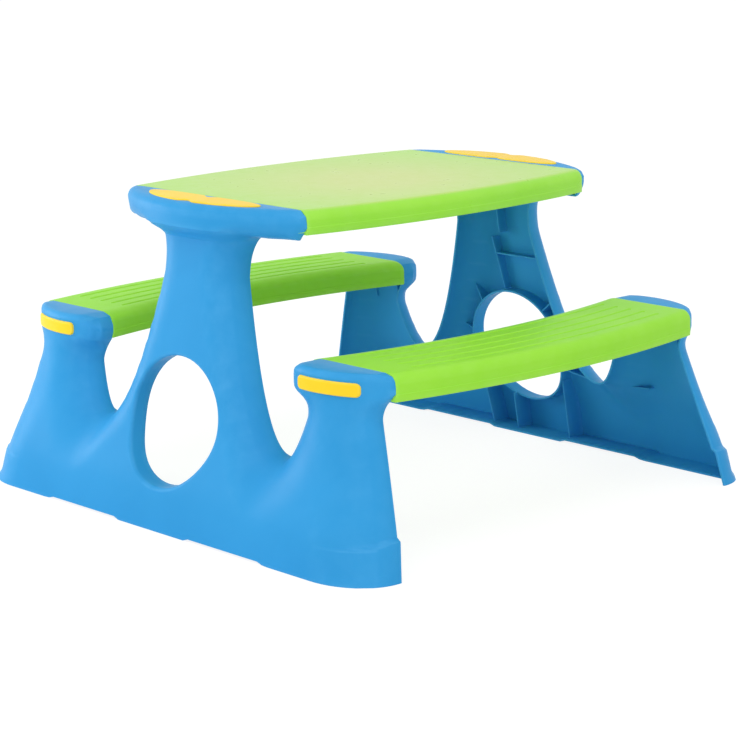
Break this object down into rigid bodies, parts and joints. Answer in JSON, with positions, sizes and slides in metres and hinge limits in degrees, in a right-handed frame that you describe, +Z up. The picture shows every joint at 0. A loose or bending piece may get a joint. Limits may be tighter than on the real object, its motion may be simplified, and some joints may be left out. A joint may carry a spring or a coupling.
{
  "type": "kids picnic table",
  "caption": "Low moulded plastic picnic table for children, with two arched end frames that carry a bowed tabletop and a curved bench on each side.",
  "frame": {"origin": "on the ground under the middle of the tabletop, at the centre of the footprint", "axes": "+X along the benches from the left to the right end frame, +Y across the table towards the rear bench, +Z up"},
  "size_m": [0.8656, 0.9, 0.4825],
  "materials": {
    "blue_plastic": "semi-gloss moulded polypropylene, mid blue",
    "green_plastic": "semi-gloss moulded polypropylene, lime green",
    "yellow_plastic": "semi-gloss moulded polypropylene, warm yellow"
  },
  "bodies": {
    "root": {"left_end_frame": "blue_plastic", "right_end_frame": "blue_plastic", "tabletop": "green_plastic", "front_bench": "green_plastic", "rear_bench": "green_plastic", "left_table_cap": "yellow_plastic", "right_table_cap": "yellow_plastic", "front_left_seat_cap": "yellow_plastic", "front_right_seat_cap": "yellow_plastic", "rear_left_seat_cap": "yellow_plastic", "rear_right_seat_cap": "yellow_plastic"}
  },
  "joints": []
}
